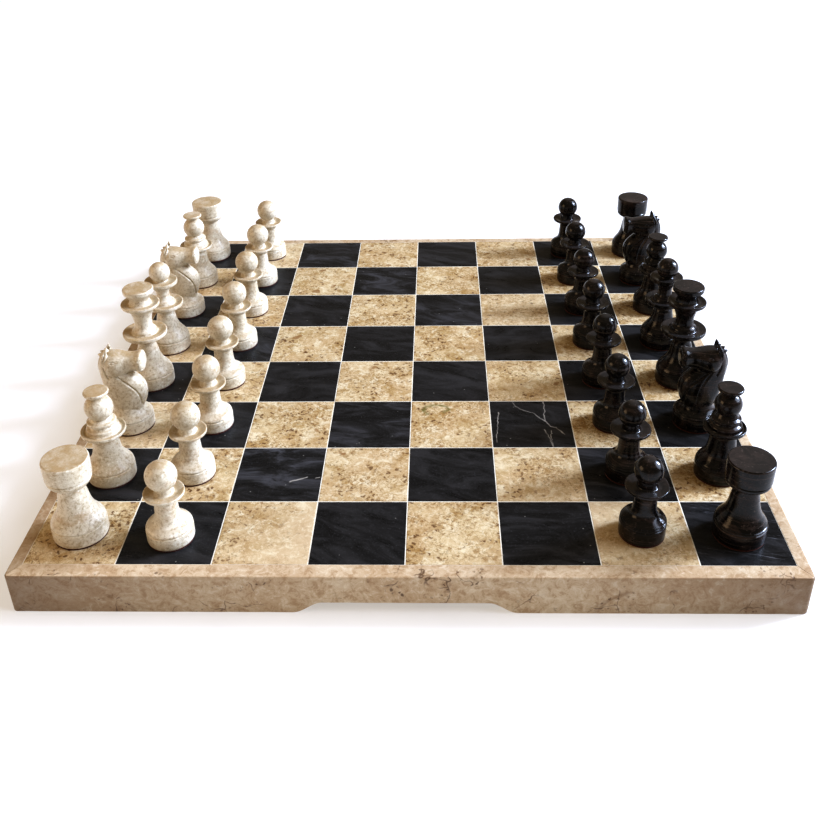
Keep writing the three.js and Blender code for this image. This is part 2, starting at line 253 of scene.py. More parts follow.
class Surface(Nodes):
    """A Principled material, coloured layer over layer by procedural patterns."""

    def __init__(self, name, specular):
        self.material = bpy.data.materials.new(name)
        self.material.use_nodes = True
        super().__init__(self.material.node_tree)
        self.shader = self.tree.nodes["Principled BSDF"].inputs
        self.shader["Specular IOR Level"].default_value = specular
        self.place = self.node("TexCoord", {})["Object"]

    def attribute(self, name, output="Fac"):
        return self.node("Attribute", {}, attribute_name=name)[output]

    def facing_up(self):
        """How squarely the surface faces up, 1 on a level top."""
        normal = self.node("NewGeometry", {})["Normal"]
        return self.node("SeparateXYZ", {"Vector": normal})["Z"]

    def stretched(self, *scale):
        return self.node("Mapping", {"Vector": self.place, "Scale": scale})["Vector"]

    def warped(self, amount, scale):
        """Coordinates pushed about by a noise, so that cells and lines lose their regularity."""
        push = self.node("TexNoise", {"Vector": self.place, "Scale": scale, "Detail": 3.0})["Color"]
        push = self.node("VectorMath", {0: push, 1: (0.5, 0.5, 0.5)}, operation="SUBTRACT")["Vector"]
        push = self.node("VectorMath", {0: push, "Scale": amount}, operation="SCALE")["Vector"]
        return self.node("VectorMath", {0: self.place, 1: push}, operation="ADD")["Vector"]

    def cloud(self, scale, detail, rough=0.55, warp=0.0, place=None):
        grain = {"Scale": scale, "Detail": detail, "Roughness": rough, "Distortion": warp}
        return self.node("TexNoise", {"Vector": place or self.place, **grain})["Fac"]

    def cells(self, scale, place=None, feature="F1"):
        """Distance from the middle of each cell, or from its edge."""
        inputs = {"Vector": place or self.place, "Scale": scale}
        return self.node("TexVoronoi", inputs, feature=feature)["Distance"]

    def ground(self, amount, first, second):
        """The first colour, which varies between two shades."""
        self.colour = self.mix(amount, srgb(*first), srgb(*second))

    def layer(self, amount, *shade):
        """A shade laid over the colour so far."""
        self.colour = self.mix(amount, self.colour, srgb(*shade))

    def finish(self, roughness, height=None, bump=0.0):
        """The material, with its colour and roughness and perhaps a fine relief."""
        self.feed(self.shader["Base Color"], self.colour)
        self.feed(self.shader["Roughness"], roughness)
        if height is not None:
            relief = {"Strength": bump, "Distance": 0.2 * MM, "Height": height}
            self.feed(self.shader["Normal"], self.node("Bump", relief)["Normal"])
        return self.material


def srgb(red, green, blue):
    """A colour given as 0 to 255, as the linear values that a shader takes."""
    def linear(value):
        share = value / 255
        return share / 12.92 if share <= 0.04045 else ((share + 0.055) / 1.055) ** 2.4
    return (linear(red), linear(green), linear(blue), 1.0)


def white_marble():
    """Pale marble, clouded with tan and finely flecked; what faces up has painted shade, a patchy darker tan.
    """
    stone = Surface("white_marble", specular=0.36)
    mottle = stone.cloud(620, 5, 0.72)
    band = stone.cloud(38, 4, 0.55, 1.4, stone.stretched(1.0, 1.0, 2.4))
    grains = stone.ramp(stone.cells(640, stone.warped(0.002, 400)), 0.18, 0.36, 1, 0)
    patch = stone.ramp(stone.cloud(110, 3), 0.50, 0.64)
    # Painted shade: surfaces that face up are laid over with a patchy darker tan
    top_shade_patches = stone.ramp(stone.cloud(150, 5, 0.7, 0.5), 0.36, 0.62, 0.45, 1.0)
    painted_top_shade = stone.times(stone.ramp(stone.facing_up(), 0.70, 0.98, 0, 0.85), top_shade_patches)
    stone.ground(stone.ramp(stone.cloud(45, 5, 0.6, 0.9), 0.36, 0.64), (200, 188, 164), (218, 209, 190))
    stone.layer(stone.ramp(band, 0.55, 0.70, 0, 0.5), 186, 160, 126)
    stone.layer(stone.ramp(mottle, 0.51, 0.62, 0, 0.65), 166, 146, 114)
    stone.layer(stone.ramp(mottle, 0.36, 0.47, 0.6, 0), 238, 233, 220)
    stone.layer(stone.times(grains, patch, 0.28), 128, 98, 70)
    stone.layer(painted_top_shade, 172, 147, 107)
    stone.shader["Subsurface Weight"].default_value = 0.1
    stone.shader["Subsurface Radius"].default_value = (1.0, 0.8, 0.6)
    stone.shader["Subsurface Scale"].default_value = 1.2 * MM
    return stone.finish(stone.ramp(mottle, 0.3, 0.75, 0.22, 0.42), mottle, 0.12)


def black_marble():
    """Near-black marble with brown clouds, turning streaks and a wax polish; what faces up has a painted grey
    sheen.
    """
    stone = Surface("black_marble", specular=0.34)
    drift = stone.cloud(80, 5, 0.68, 1.2)
    fine = stone.cloud(620, 4, 0.7)
    turning = stone.cloud(60, 6, 0.7, 0.4, stone.stretched(0.35, 0.35, 12.0))
    stone.ground(stone.ramp(drift, 0.44, 0.66), (9, 8, 8), (43, 33, 29))
    stone.layer(stone.ramp(turning, 0.52, 0.70, 0, 0.5), 88, 73, 66)
    stone.layer(stone.ramp(fine, 0.57, 0.69, 0, 0.35), 112, 98, 90)
    # Painted sheen: surfaces that face up are lightened towards grey
    stone.layer(stone.ramp(stone.facing_up(), 0.85, 0.99, 0, 0.3), 86, 82, 79)
    height = stone.maths("ADD", fine, stone.times(turning, 1.5))
    return stone.finish(stone.ramp(drift, 0.3, 0.8, 0.08, 0.2), height, 0.3)


def light_tile_stone():
    """Fossil limestone: finely speckled tan and cream, a faint net, brown fossils, nests of pits."""
    stone = Surface("light_tile_stone", specular=0.35)
    stone.place = stone.attribute("stone_place", "Vector")
    calm = stone.attribute("calm")
    quiet = stone.ramp(calm, 0.0, 1.0, 1.0, 0.15)
    bed = stone.warped(0.010, 70)
    drift = stone.cloud(36, 4, 0.55, 0.6, bed)
    mottle = stone.cloud(360, 6, 0.8, 0.5, bed)
    pale = stone.cloud(95, 5, 0.7, 0.8)
    busy = stone.times(quiet, stone.ramp(stone.cloud(52, 4, 0.65, 0.7, bed), 0.41, 0.58, 0.18, 1.0))
    stone.ground(stone.ramp(drift, 0.36, 0.66), (196, 172, 133), (208, 190, 153))
    stone.layer(stone.times(calm, 0.7), 207, 188, 158)

    ochre = stone.ramp(stone.cloud(62, 5, 0.68, 0.5), 0.51, 0.64, 0, 0.85)
    stained = stone.maths("ADD", ochre, stone.attribute("olive"))
    stone.layer(stone.times(stained, quiet, 0.8), 167, 137, 84)
    stone.layer(stone.ramp(pale, 0.53, 0.62, 0, 0.65), 222, 211, 183)
    stone.layer(stone.times(stone.ramp(mottle, 0.50, 0.60, 0, 0.95), busy), 153, 121, 74)
    stone.layer(stone.ramp(mottle, 0.38, 0.48, 0.55, 0), 225, 216, 189)

    net = stone.ramp(stone.cells(230, stone.warped(0.006, 160), "DISTANCE_TO_EDGE"), 0.0, 0.07, 0.5, 0)
    stone.layer(stone.times(net, stone.ramp(pale, 0.42, 0.56, 1, 0), quiet), 144, 111, 66)
    grit = stone.ramp(stone.cloud(620, 4, 0.75), 0.54, 0.62, 0, 0.9)
    stone.layer(stone.times(grit, busy), 120, 90, 50)
    fossils = stone.ramp(stone.cells(72, stone.warped(0.012, 120)), 0.14, 0.22, 0.8, 0)
    stone.layer(stone.times(fossils, stone.ramp(drift, 0.50, 0.58)), 142, 105, 62)

    nests = stone.ramp(stone.cloud(70, 5, 0.7), 0.49, 0.58)
    stone.layer(stone.times(nests, quiet, 0.35), 163, 129, 75)
    pits = stone.ramp(stone.cells(290, stone.warped(0.007, 300)), 0.24, 0.42, 1, 0)
    pit = stone.times(pits, nests, quiet)
    stone.layer(stone.times(pit, 0.92), 104, 72, 39)
    stone.layer(stone.attribute("mark"), 106, 98, 44)
    height = stone.maths("SUBTRACT", mottle, stone.times(pit, 1.5))
    return stone.finish(stone.ramp(mottle, 0.3, 0.8, 0.32, 0.55), height, 0.25)


def dark_tile_stone():
    """Black marble with faint smoke, rare pale specks and, on some tiles, wisps, veins or scuffs."""
    stone = Surface("dark_tile_stone", specular=0.16)
    stone.place = stone.attribute("stone_place", "Vector")
    smoke = stone.cloud(30, 7, 0.7, 0.9, stone.stretched(1.0, 2.6, 1.0))
    grain = stone.cloud(900, 4, 0.7)
    scuff = stone.cloud(120, 5, 0.7, 0.3, stone.stretched(0.35, 5.0, 1.0))
    stone.ground(stone.ramp(smoke, 0.36, 0.70), (26, 26, 26), (54, 53, 53))
    stone.layer(stone.times(stone.ramp(smoke, 0.48, 0.68), stone.attribute("cloudy")), 84, 84, 88)
    stone.layer(stone.ramp(grain, 0.54, 0.70, 0, 0.45), 74, 74, 76)
    stone.layer(stone.times(stone.ramp(scuff, 0.60, 0.72, 0, 0.7), stone.attribute("scuffed")), 120, 120, 124)
    stone.layer(stone.attribute("mark"), 186, 180, 170)
    stone.layer(stone.ramp(stone.cells(120), 0.03, 0.07, 0.6, 0), 150, 148, 140)
    return stone.finish(stone.ramp(smoke, 0.3, 0.8, 0.26, 0.42), stone.maths("ADD", grain, smoke), 0.06)


def rail_stone():
    """The frame's limestone: warmer and calmer than the tiles, with brown veins, nests of pits and painted
    shade.
    """
    stone = Surface("rail_stone", specular=0.4)
    bed = stone.warped(0.010, 45)
    silt = stone.cloud(210, 6, 0.78, 0.5, bed)
    stain = stone.cloud(34, 4, 0.6, 1.4)
    stone.ground(stone.ramp(stone.cloud(26, 5, 0.6, 0.6, bed), 0.34, 0.68), (189, 165, 133), (205, 187, 159))
    stone.layer(stone.ramp(silt, 0.49, 0.62, 0, 0.7), 166, 136, 101)
    stone.layer(stone.ramp(silt, 0.36, 0.48, 0.55, 0), 222, 211, 190)
    stone.layer(stone.ramp(stain, 0.60, 0.74, 0, 0.75), 136, 106, 69)
    veins = stone.ramp(stone.cells(34, stone.warped(0.03, 40), "DISTANCE_TO_EDGE"), 0.0, 0.014, 1, 0)
    stone.layer(stone.times(veins, stone.ramp(stain, 0.5, 0.62), 0.85), 98, 72, 49)
    pits = stone.ramp(stone.cells(360, stone.warped(0.004, 330)), 0.16, 0.32, 1, 0)
    pit = stone.times(pits, stone.ramp(stain, 0.52, 0.66))
    stone.layer(stone.times(pit, 0.85), 96, 70, 45)
    # Painted shade from the attribute that make_rails paints: a tone on each rail's top, and outer faces
    # darker towards the corners
    stone.layer(stone.attribute("painted_shade"), 109, 84, 59)
    height = stone.maths("SUBTRACT", silt, stone.times(pit, 1.4))
    return stone.finish(stone.ramp(silt, 0.3, 0.8, 0.36, 0.58), height, 0.3)


def grout():
    """Cream cement, soiled here and there."""
    paste = Surface("grout", specular=0.25)
    sand = paste.cloud(1500, 3, 0.6)
    paste.ground(paste.ramp(sand, 0.35, 0.7), (223, 216, 198), (235, 231, 218))
    paste.layer(paste.ramp(paste.cloud(90, 4, 0.6), 0.5, 0.72, 0, 0.6), 172, 152, 122)
    return paste.finish(0.8, sand, 0.4)


def felt():
    """Dark red wool."""
    cloth = Surface("felt", specular=0.1)
    fibre = cloth.cloud(2600, 5, 0.75, 1.5)
    cloth.ground(cloth.ramp(fibre, 0.35, 0.7), (58, 26, 20), (92, 46, 36))
    cloth.shader["Sheen Weight"].default_value = 0.2
    return cloth.finish(0.95, fibre, 0.8)


def backing_board():
    """Brown fibreboard."""
    board = Surface("backing_board", specular=0.2)
    fibre = board.cloud(240, 6, 0.75, 0.6, board.stretched(1.0, 6.0, 1.0))
    flecks = board.cells(700, board.warped(0.003, 200))
    board.ground(board.ramp(fibre, 0.35, 0.7), (112, 84, 58), (158, 124, 88))
    board.layer(board.ramp(flecks, 0.10, 0.25, 0.6, 0), 84, 60, 40)
    return board.finish(0.85, fibre, 0.5)


MATERIALS = {
    "white": white_marble(),
    "black": black_marble(),
    "light_tile": light_tile_stone(),
    "dark_tile": dark_tile_stone(),
    "rail": rail_stone(),
    "grout": grout(),
    "felt": felt(),
    "backing": backing_board(),
}


# -------- board

def bar_with_easing(low, high, edge):
    """A block whose top edges are eased, as vertices and faces."""
    levels = [
        (low.z, 0.0),
        (high.z - edge, 0.0),
        (high.z - edge * 0.3, edge * 0.3),
        (high.z, edge),
    ]
    vertices = []
    for z, inset in levels:
        vertices += [
            Vector((low.x + inset, low.y + inset, z)),
            Vector((high.x - inset, low.y + inset, z)),
            Vector((high.x - inset, high.y - inset, z)),
            Vector((low.x + inset, high.y - inset, z)),
        ]
    return vertices, skin(len(levels), 4)


def chance(*key):
    """A repeatable number from 0 to 1 for a key of small whole numbers."""
    total = sum(value * weight for value, weight in zip(key, (127.1, 311.7, 74.7, 19.3)))
    return (math.sin(total) * 43758.5453) % 1.0


def stone_grain(piece, low, high, key, features):
    """Attributes for the stone's pattern: each tile was sawn from another part of the slab."""
    turn = Matrix.Rotation(math.pi * math.floor(chance(*key, 0) * 2) + chance(*key, 1) * 0.5, 3, "Z")
    shift = Vector((chance(*key, 2), chance(*key, 3), chance(*key, 4))) * 3.0
    points = [vertex.co - (low + high) / 2 for vertex in piece.data.vertices]
    paint(piece, "stone_place", "FLOAT_VECTOR", "vector", [turn @ point + shift for point in points])
    size = high - low
    for name, value in features.items():
        corners = value if isinstance(value, tuple) else (value,) * 4
        front_left, front_right, back_right, back_left = corners
        values = []
        for point in points:
            across, along = point.x / size.x + 0.5, point.y / size.y + 0.5
            front = front_left + (front_right - front_left) * across
            back = back_left + (back_right - back_left) * across
            values.append(front + (back - front) * along)
        paint(piece, name, "FLOAT", "value", values)


def distance_to(line, x, y):
    """Distance from a point to a line through points, in the line's own unit."""
    best = math.inf
    for (ax, ay), (bx, by) in zip(line, line[1:]):
        run_x, run_y = bx - ax, by - ay
        share = ((x - ax) * run_x + (y - ay) * run_y) / (run_x ** 2 + run_y ** 2)
        share = max(0.0, min(1.0, share))
        best = min(best, math.hypot(x - ax - run_x * share, y - ay - run_y * share))
    return best


def tile_marks(piece, centre, strokes):
    """How much of a marked tile's own veins or fossil shows at each point of its fine top."""
    def refine(work):
        top = max(work.faces, key=lambda face: face.calc_center_median().z)
        bmesh.ops.subdivide_edges(work, edges=list(top.edges), cuts=MARK_CUTS, use_grid_fill=True)

    if strokes:
        edit(piece.data, refine)
    values = []
    for vertex in piece.data.vertices:
        x, y = (vertex.co.x - centre.x) / MM, (vertex.co.y - centre.y) / MM
        spot = Vector((x, y, 0)) * MARK_WANDER_RATE
        shift_x = noise.noise(spot) * MARK_WANDER
        shift_y = noise.noise(spot + MARK_ASIDE) * MARK_WANDER
        fade = 0.75 + 0.5 * noise.noise(Vector((x, y, 9)) * MARK_FADE_RATE)
        strength = 0.0
        for half_width, line in strokes:
            near = distance_to(line, x + shift_x, y + shift_y)
            strength = max(strength, fade * math.exp(-((near / half_width) ** 2)))
        values.append(strength)
    paint(piece, "mark", "FLOAT", "value", values)


row_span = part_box("light_tiles_file_g")  # second row: neither of its long sides is trimmed
SQUARE = (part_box("light_tiles_file_b")[0].y - row_span[0].y) / 5
JOINT = SQUARE - (row_span[1].y - row_span[0].y)
FIELD_LOW = Vector((
    min(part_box(f"{shade}_tiles_file_h")[0].x for shade in ("light", "dark")),
    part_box("dark_tiles_file_h")[0].y,
))
FIELD_HIGH = Vector((
    max(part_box(f"{shade}_tiles_file_h")[1].x for shade in ("light", "dark")),
    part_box("dark_tiles_file_a")[1].y,
))
FIELD_CENTRE = Vector((0.0, (row_span[0].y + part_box("light_tiles_file_b")[1].y) / 2))


def field_lines():
    """Joint by joint, the two sides of each line of grout across X, then across Y."""
    lines = []
    for axis in range(2):
        edges = [FIELD_LOW[axis]]
        for index in range(1, SQUARES):
            middle = FIELD_CENTRE[axis] + (index - SQUARES / 2) * SQUARE
            edges += [middle - JOINT / 2, middle + JOINT / 2]
        edges.append(FIELD_HIGH[axis])
        lines.append(edges)
    return lines


# How strong each feature gets on a tile of no note, and the tiles where one stands out; four
# numbers are the front left, front right, back right and back left corners
TILE_FEATURES = {
    "light": {"calm": 0.5, "olive": 0.12},
    "dark": {"cloudy": 0.6, "scuffed": 0.35},
}
MARKED_TILES = {
    "h3": {"calm": (0.3, 1.0, 0.8, 0.0)},
    "h7": {"calm": (0.6, 0.5, 0.3, 0.8)},
    "f6": {"cloudy": 0.0, "scuffed": 0.0},
    "g3": {"cloudy": (0.4, 0.3, 1.0, 1.4), "scuffed": 0.2},
    "h8": {"scuffed": 1.0},
    "h4": {"cloudy": 0.0, "scuffed": 0.0},
    "h6": {"cloudy": 0.1, "scuffed": 0.1},
}
# Fossil, veins and streak: (half width, points) of each stroke, in mm from the tile's middle
MARK_CUTS = 129  # cuts across a marked tile's top
MARK_WANDER = 0.6  # how far a stroke strays, in mm
MARK_WANDER_RATE = 0.45
MARK_ASIDE = Vector((7.3, 2.9, 5.5))  # where the noise for X is read again for Y
MARK_FADE_RATE = 0.3
MARKS = {
    "f5": [
        (1.3, [(-15.0, 10.5), (-17.5, 14.5), (-15.5, 19.0), (-9.5, 20.5)]),
        (1.0, [(-9.5, 20.5), (-3.0, 19.5), (-0.8, 15.5), (-4.5, 12.5)]),
    ],
    "f6": [
        (0.23, [(9.7, 25.0), (9.9, 15.5), (8.8, 8.8), (9.0, 2.3), (11.8, -3.5), (15.0, -4.5), (19.5, -11.8)]),
        (0.23, [(7.6, -6.8), (9.4, -13.5), (11.3, -25.0)]),
        (0.2, [(11.9, -7.5), (10.8, -14.5), (11.3, -23.5)]),
        (0.2, [(-10.0, 23.0), (-8.0, 18.0), (-3.6, 14.5), (2.4, 11.3), (6.0, 5.5), (9.0, 2.3)]),
        (0.2, [(-19.6, 12.2), (-20.6, 2.3), (-21.0, -6.8), (-22.4, -14.3), (-22.0, -20.0)]),
    ],
    "g3": [
        (0.45, [(7.0, -7.4), (11.0, -5.8), (16.0, -3.4)]),
        (0.3, [(21.5, -4.2), (24.0, -3.6)]),
    ],
}


def make_tiles():
    across, along = field_lines()
    for column, row in product(range(SQUARES), repeat=2):
        shade = "dark" if (column + row) % 2 else "light"
        low = Vector((across[2 * column], along[2 * row], BOARD_TOP - TILE_DEPTH))
        high = Vector((across[2 * column + 1], along[2 * row + 1], BOARD_TOP))
        vertices, faces = bar_with_easing(low, high, TILE_EDGE)
        file = FILES[row]
        tile = piece_from(
            f"{shade}_tile_{file}{column + 1}", vertices, faces, MATERIALS[f"{shade}_tile"],
            "board", [f"{shade}_tiles_file_{file}"], smooth=False,
        )
        given = MARKED_TILES.get(f"{file}{column + 1}", {})
        features = {}
        for index, (name, most) in enumerate(TILE_FEATURES[shade].items()):
            features[name] = given.get(name, most * chance(column, row, 5 + index) ** 3)
        tile_marks(tile, (low + high) / 2, MARKS.get(f"{file}{column + 1}", []))
        stone_grain(tile, low, high, (column, row), features)


def make_grout():
    """One lattice that fills the joints between the tiles and round the field's edge."""
    across, along = field_lines()
    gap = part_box("backing_panel")[0].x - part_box("rail_left")[1].x
    xs = [across[0] - gap] + across + [across[-1] + gap]
    ys = [along[0] - gap] + along + [along[-1] + gap]
    top = BOARD_TOP - GROUT_SINK
    bottom = BOARD_TOP - TILE_DEPTH
    work = bmesh.new()
    grid = [[work.verts.new((x, y, top)) for y in ys] for x in xs]
    for i, j in product(range(len(xs) - 1), range(len(ys) - 1)):
        if i % 2 == 0 or j % 2 == 0:
            work.faces.new((grid[i][j], grid[i + 1][j], grid[i + 1][j + 1], grid[i][j + 1]))
    raised = bmesh.ops.extrude_face_region(work, geom=list(work.faces))
    moved = [item for item in raised["geom"] if isinstance(item, bmesh.types.BMVert)]
    bmesh.ops.translate(work, vec=(0, 0, bottom - top), verts=moved)
    outward(work)
    piece = in_scene("grout", mesh_of("grout", work))
    piece.data.materials.append(MATERIALS["grout"])
    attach(piece, "board")


# A rail is made lying along X with its outer face on y = 0, then turned into place.

def mitre_angle(width, inset, offset):
    """Where the outer corner's arc, brought in by an offset, meets the mitre line."""
    length = math.hypot(width, inset)
    across, along = width / length, inset / length
    reach = RAIL_CORNER * (across - along) / (RAIL_CORNER - offset)
    return math.atan2(along, across) + math.asin(max(-1.0, min(1.0, reach)))


def rail_stations(length, is_recessed):
    """Stations along a rail: (end, share) on each corner's arc, or a plain distance."""
    start = [("start", 1 - step / CORNER_STEPS) for step in range(CORNER_STEPS)]
    end = [("end", (step + 1) / CORNER_STEPS) for step in range(CORNER_STEPS)]
    plain = length - 2 * RAIL_CORNER
    count = round(plain / STATION_PITCH)
    straight = {RAIL_CORNER + plain * i / count for i in range(count + 1)}
    if is_recessed:
        slope = RECESS_HALF_WIDTH - RECESS_HALF_FLAT
        ogee = [RECESS_HALF_FLAT + slope * i / OGEE_STEPS for i in range(OGEE_STEPS + 1)]
        straight |= {length / 2 + side * reach for side in (-1, 1) for reach in ogee}
    return start + [("straight", distance) for distance in sorted(straight)] + end


def recess_height(distance):
    """Height of the recess's ogee at a distance from the rail's middle."""
    share = (RECESS_HALF_WIDTH - abs(distance)) / (RECESS_HALF_WIDTH - RECESS_HALF_FLAT)
    share = max(0.0, min(1.0, share))
    return RECESS_DEPTH * share * share * (3 - 2 * share)


def quarter(radius, steps, is_top):
    """(height, inset) pairs of a rounded edge, from the bottom up."""
    pairs = []
    for step in range(steps + 1):
        angle = math.pi / 2 * step / steps
        if is_top:
            pairs.append((radius * math.sin(angle), radius * (1 - math.cos(angle))))
        else:
            pairs.append((radius * (1 - math.cos(angle)), radius * (1 - math.sin(angle))))
    return pairs


def rail_mesh(length, width, start_inset, end_inset, is_recessed):
    vertices = []
    stations = rail_stations(length, is_recessed)
    foot = quarter(RAIL_FOOT, 3, False)
    arris = quarter(RAIL_ARRIS, 5, True)
    for kind, value in stations:
        inset = end_inset if kind == "end" else start_inset
        rise = recess_height(value - length / 2) if is_recessed and kind == "straight" else 0.0
        heights = [(rise + h, d) for h, d in foot]
        heights += [(BOARD_TOP - RAIL_ARRIS + h, d) for h, d in arris]
        outer = []
        for z, offset in heights:
            if kind == "straight":
                x, y = value, offset
            else:
                angle = mitre_angle(width, inset, offset) * value
                x = RAIL_CORNER - (RAIL_CORNER - offset) * math.sin(angle)
                y = RAIL_CORNER - (RAIL_CORNER - offset) * math.cos(angle)
                x = length - x if kind == "end" else x
            chip = RAIL_CHIP * noise.noise(Vector((x * 160, z * 200, length * 10)))
            y += max(0.0, chip) if offset > 0 else 0.0
            outer.append(Vector((x, y, z)))
        if kind == "straight":
            reach = outer[-1].x
        else:
            reach = RAIL_CORNER * (1 - value)
            reach = length - reach if kind == "end" else reach
        inner_x = start_inset + reach / length * (length - start_inset - end_inset)
        outer.append(Vector((inner_x, width, BOARD_TOP)))
        outer.append(Vector((inner_x, width, rise)))
        vertices += outer
    return vertices, skin(len(stations), len(vertices) // len(stations))


# Painted shade on each rail's top, most on the left rail
RAIL_SHADE_TONES = {"rail_front": 0.0, "rail_right": 0.1, "rail_back": 0.08, "rail_left": 0.26}


def rail_painted_shade(place, tone):
    """Painted shade: each rail's top is darkened by its own tone, and outer faces darken towards the corners.
    """
    if place.z > BOARD_TOP - 0.1 * MM:
        return tone
    corner = min(1.0, abs(place.x / rail_high.x), abs(place.y / rail_low.y))
    return 0.72 * corner ** 2


def make_rails():
    """Four rails between the board's outer box and the field of tiles, mitred at the corners."""
    outer_low, outer_high = Vector(rail_low), Vector(rail_high)
    outer_low.x, outer_high.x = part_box("rail_left")[0].x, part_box("rail_right")[1].x
    outer_high.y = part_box("rail_back")[1].y
    width_front = rail_high.y - rail_low.y
    width_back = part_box("rail_back")[1].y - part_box("rail_back")[0].y
    width_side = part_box("rail_left")[1].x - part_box("rail_left")[0].x
    across = outer_high.x - outer_low.x
    along = outer_high.y - outer_low.y
    front_left, front_right = (outer_low.x, outer_low.y), (outer_high.x, outer_low.y)
    back_left, back_right = (outer_low.x, outer_high.y), (outer_high.x, outer_high.y)
    plans = {
        "rail_front": (across, width_front, width_side, width_side, front_left, 0),
        "rail_right": (along, width_side, width_front, width_back, front_right, 90),
        "rail_back": (across, width_back, width_side, width_side, back_right, 180),
        "rail_left": (along, width_side, width_back, width_front, back_left, -90),
    }
    for name, (length, width, start, end, corner, degrees) in plans.items():
        vertices, faces = rail_mesh(length, width, start, end, name == "rail_front")
        turn = Matrix.Rotation(math.radians(degrees), 4, "Z")
        place = Matrix.Translation((*corner, 0)) @ turn
        squeeze = 1 - 2 * RAIL_GAP / length
        moved = [place @ Vector(((v.x - length / 2) * squeeze + length / 2, v.y, v.z)) for v in vertices]
        piece = piece_from(f"{name}_stone", moved, faces, MATERIALS["rail"], "board", [name])
        edit(piece.data, outward)
        # Painted shade at each vertex
        painted_shade = [rail_painted_shade(vertex.co, RAIL_SHADE_TONES[name]) for vertex in piece.data.vertices]
        paint(piece, "painted_shade", "FLOAT", "value", painted_shade)
        sharpen(piece, 40)


# -------- turned men
# Corners are (radius, height, rounding) in millimetres, with height above the square.

FELT_MM = FELT / MM
BELL_STEPS = (0.25, 0.45, 0.65, 0.85, 1.05, 1.3, 1.6, 2.0, 2.5)  # heights up the bell, in half-heights


def foot(radius, groove, half, steepness, neck, neck_height, is_double):
    """A drum, one incised line or two, and the bell that runs into the neck.

    The bell has lost half its width at a height of half above the line."""
    def bell(height):
        return neck + (radius - 0.15 - neck) / (1 + ((height - groove) / half) ** steepness)

    corners = [
        (0, FELT_MM, 0),
        (radius - 0.5, FELT_MM, 0.3),
        (radius, FELT_MM + 0.8, 0.5),
        (radius, groove - 0.5, 0.2),
        (radius - 0.7, groove, 0.1),
        (radius - 0.2, groove + 0.5, 0.2),
    ]
    clear = groove + 0.6
    if is_double:
        second = groove + 1.5
        corners += [
            (bell(second - 0.45), second - 0.45, 0.2),
            (bell(second) - 0.6, second, 0.1),
            (bell(second + 0.45), second + 0.45, 0.2),
        ]
        clear = second + 0.9
    for step in BELL_STEPS:
        height = groove + step * half
        if clear < height < neck_height - 1:
            corners.append((bell(height), height, 1.6))
    return corners + [(neck, neck_height, 1.5)]


def collar(height, radius, stem, dish, flare, rim=1.0):
    """A dished collar, from the stem below it to the stem that stands in it."""
    return [
        (stem, height - flare, 2.5),
        (radius - 1.2, height - rim - 0.45, 1.4),
        (radius, height - rim, 0.35),
        (radius, height + 0.4, 0.35),
        (radius - 0.7, height + 0.6, 0.3),
        (dish + 1.4, height - 0.5, 1.6),
        (dish, height + 0.2, 0.7),
    ]


def ball(height, radius, stem, top=90.0):
    start = -math.acos(stem / radius)
    end = math.radians(top)
    steps = 22
    points = []
    for step in range(steps + 1):
        angle = start + (end - start) * step / steps
        points.append((max(0.0, radius * math.cos(angle)), height + radius * math.sin(angle), 0))
    return points


def pawn(is_black):
    radius, groove, rim_height, rim = (12.3, 9.6, 31.9, 11.3) if is_black else (12.6, 8.6, 30.8, 10.8)
    return [
        *foot(radius, groove, 3.8, 3.2, 5.9 if is_black else 6.1, 24, is_black),
        *collar(rim_height, rim, 6.1, 5.0, 4.0),
        *(ball(41.9, 7.7, 4.6) if is_black else ball(41.2, 8.4, 4.6)),
    ]


def rook(is_black):
    radius, neck = (13.8, 6.3) if is_black else (14.7, 6.9)
    head, head_bottom, top = (12.0, 36.6, 49.4) if is_black else (12.3, 37.6, 49.8)
    return [
        *foot(radius, 9.4, 6.7, 2.0, neck, 31, is_black),
        (neck, 33.6, 1.0),
        (10.2, 34.4, 0.9),
        (head - 0.5, head_bottom - 0.7, 0.5),
        (head - 0.45, head_bottom + 0.7, 0.2),
        (head - 0.9, head_bottom + 1.2, 0.1),
        (head - 0.1, head_bottom + 1.7, 0.2),
        (head, top - 0.7, 0.5),
        (head - 0.6, top, 0.4),
        (0, top, 0),
    ]


def bishop(is_black):
    radius, rim = (13.3, 11.8) if is_black else (13.8, 12.6)
    return [
        *foot(radius, 8.8, 5.4, 2.4, 7.1, 27, is_black),
        *collar(33.0, rim, 7.1, 9.2, 4.2, 1.2),
        (9.2, 35.4, 0.7),
        (7.4, 36.6, 0.8),
        (7.0, 37.6, 0.4),
        (8.2, 38.6, 0.4),
        (8.2, 39.7, 0.4),
        (6.6, 40.6, 0.4),
        *ball(47.9, 7.5 if is_black else 8.0, 5.4, 58),
        (4.4, 55.6, 0.3),
        (6.9, 57.2, 0.5),
        (7.1, 58.3, 0.4),
        (6.5, 59.0, 0.4),
        (0, 58.8, 0),
    ]


def queen(is_black):
    radius, rim, crown = (13.8, 12.8, 10.9) if is_black else (14.0, 13.0, 11.2)
    lift = 0.0 if is_black else 1.3
    return [
        *foot(radius, 9.0, 7.1, 2.3, 5.5, 28, is_black),
        *collar(34.6 + lift, rim, 5.8, 7.6, 5.2, 1.8),
        (7.2, 36.4 + lift, 1.0),
        (4.7, 38.0 + lift, 2.0),
        (4.4, 43.5 + lift, 3.0),
        *collar(51.6 + lift, crown, 5.6, 4.6, 5.6, 2.0),
        *ball(57.9 + lift, 7.2, 4.4),
    ]


